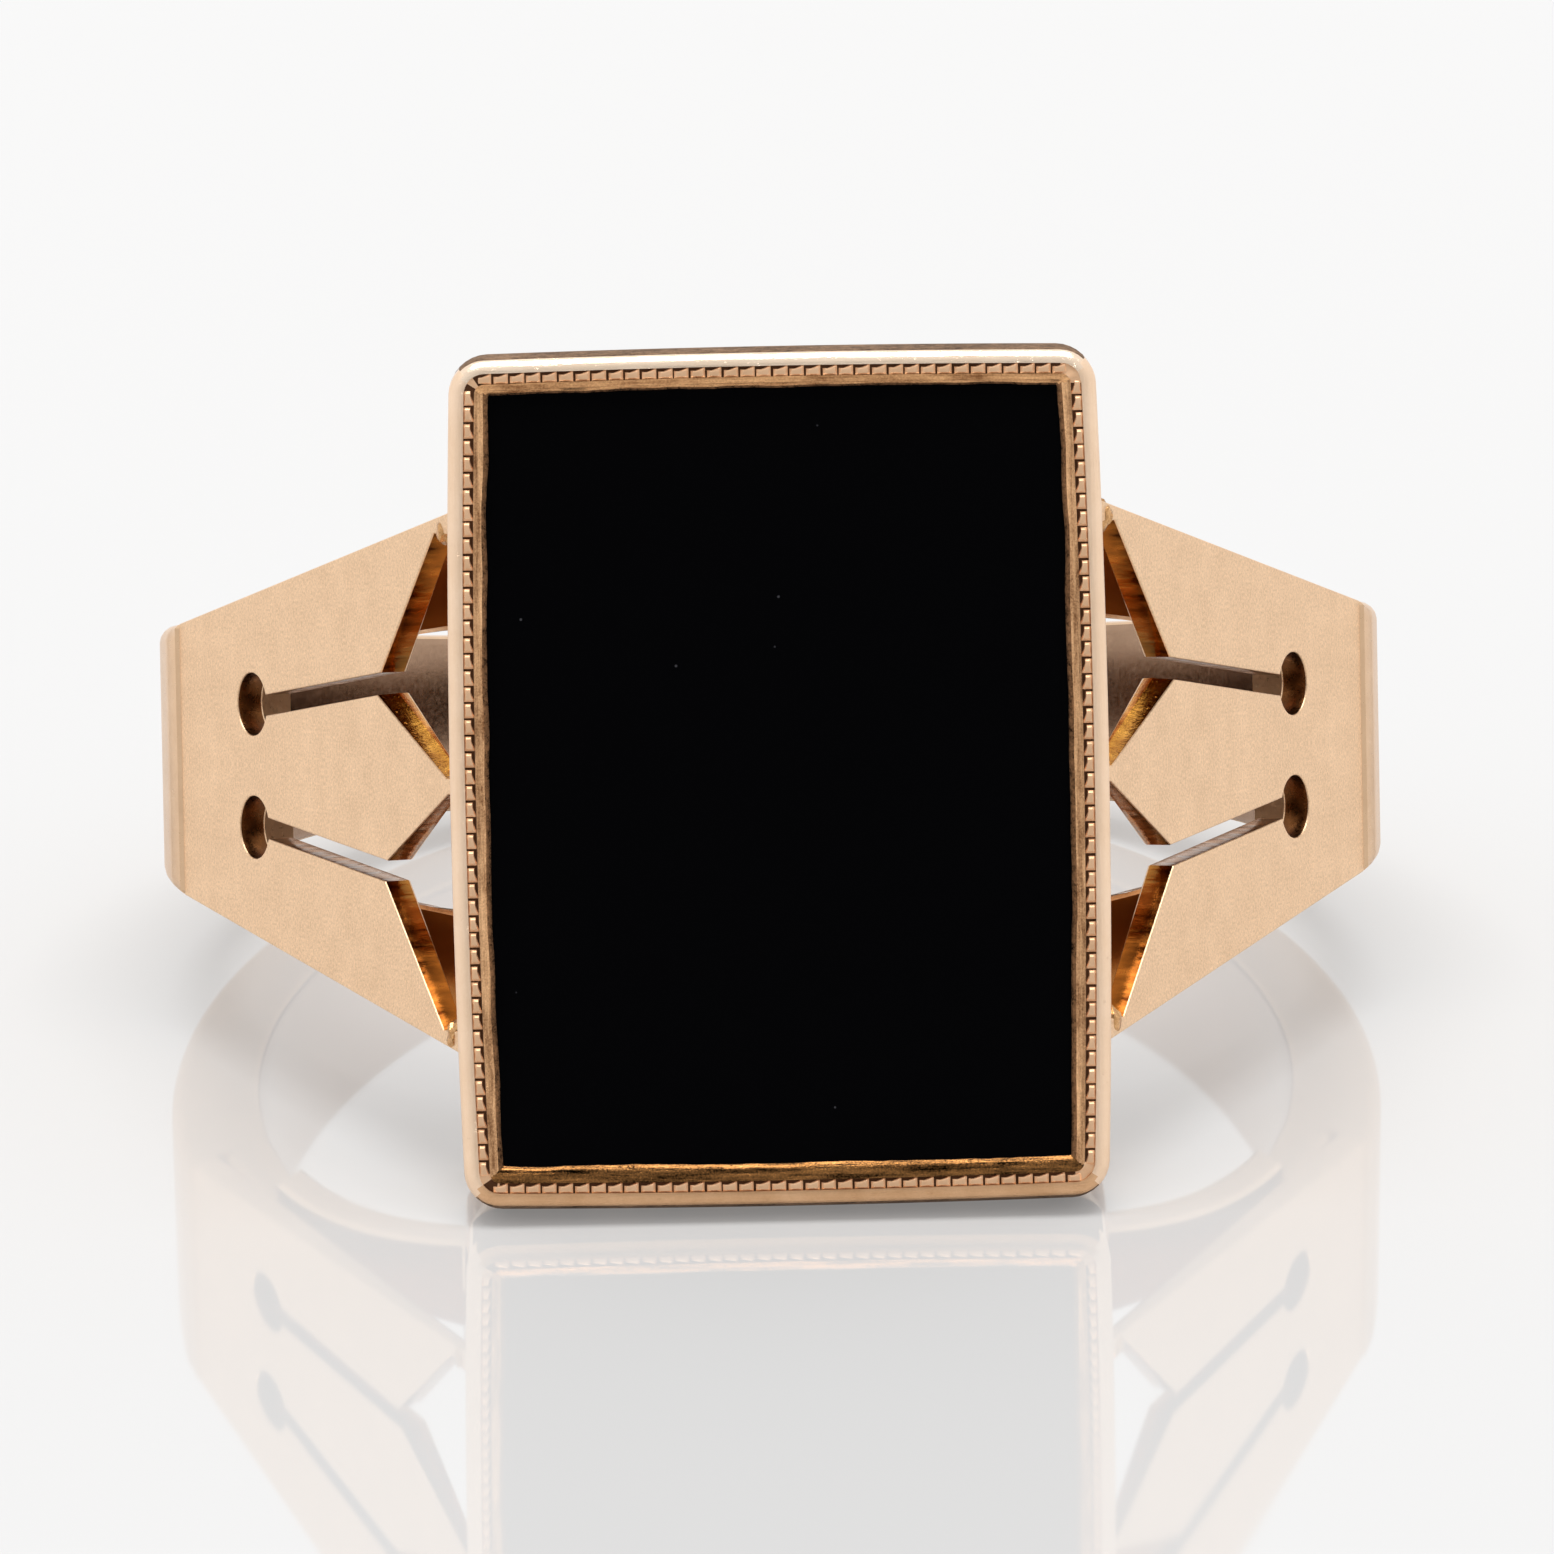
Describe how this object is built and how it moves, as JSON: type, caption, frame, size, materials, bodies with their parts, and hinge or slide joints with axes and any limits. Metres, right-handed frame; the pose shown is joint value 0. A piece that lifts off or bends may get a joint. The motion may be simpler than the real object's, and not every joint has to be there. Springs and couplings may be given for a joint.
{
  "type": "signet ring",
  "caption": "Signet ring with a flat rectangular black stone in a beaded box bezel, flat pierced shoulder plates with saw cuts and V notches, and a tapering hoop.",
  "frame": {"origin": "bottom centre of the bounding box, on the surface the ring lies on", "axes": "The ring lies on its side: -Y and slightly up is out of the stone, +Z and slightly back is along the finger, X is across the ring"},
  "size_m": [0.0218, 0.0243, 0.0145],
  "materials": {
    "polished_gold": "polished",
    "satin_gold": "satin",
    "onyx": "polished"
  },
  "bodies": {
    "root": {"hoop": "polished_gold", "inner_arm_upper_left": "polished_gold", "inner_arm_lower_left": "polished_gold", "inner_arm_upper_right": "polished_gold", "inner_arm_lower_right": "polished_gold", "shoulder_plate_left": "satin_gold", "shoulder_plate_right": "satin_gold", "bezel": "polished_gold", "beaded_rim_line": "polished_gold", "stone_seat": "polished_gold", "onyx_stone": "onyx"}
  },
  "joints": []
}
